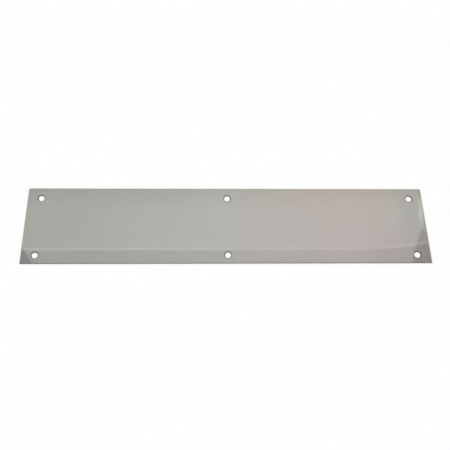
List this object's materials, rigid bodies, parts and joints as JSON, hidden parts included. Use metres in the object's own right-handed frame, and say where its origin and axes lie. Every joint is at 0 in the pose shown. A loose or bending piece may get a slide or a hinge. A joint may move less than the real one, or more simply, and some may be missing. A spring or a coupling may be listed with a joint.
{
  "type": "kick plate",
  "caption": "Flat polished stainless steel door kick plate, a thin rectangular sheet with eased edges and countersunk screw holes along its top and bottom.",
  "frame": {"origin": "centre of the flat back face, the face that lies against the door", "axes": "+X along the plate's length, +Y towards its top edge as fitted on a door, +Z out of the front face"},
  "size_m": [0.762, 0.1524, 0.0013],
  "materials": {
    "polished_stainless": "bright polished stainless steel, mirror-like with faint long polishing lines"
  },
  "bodies": {
    "root": {"plate": "polished_stainless"}
  },
  "joints": []
}
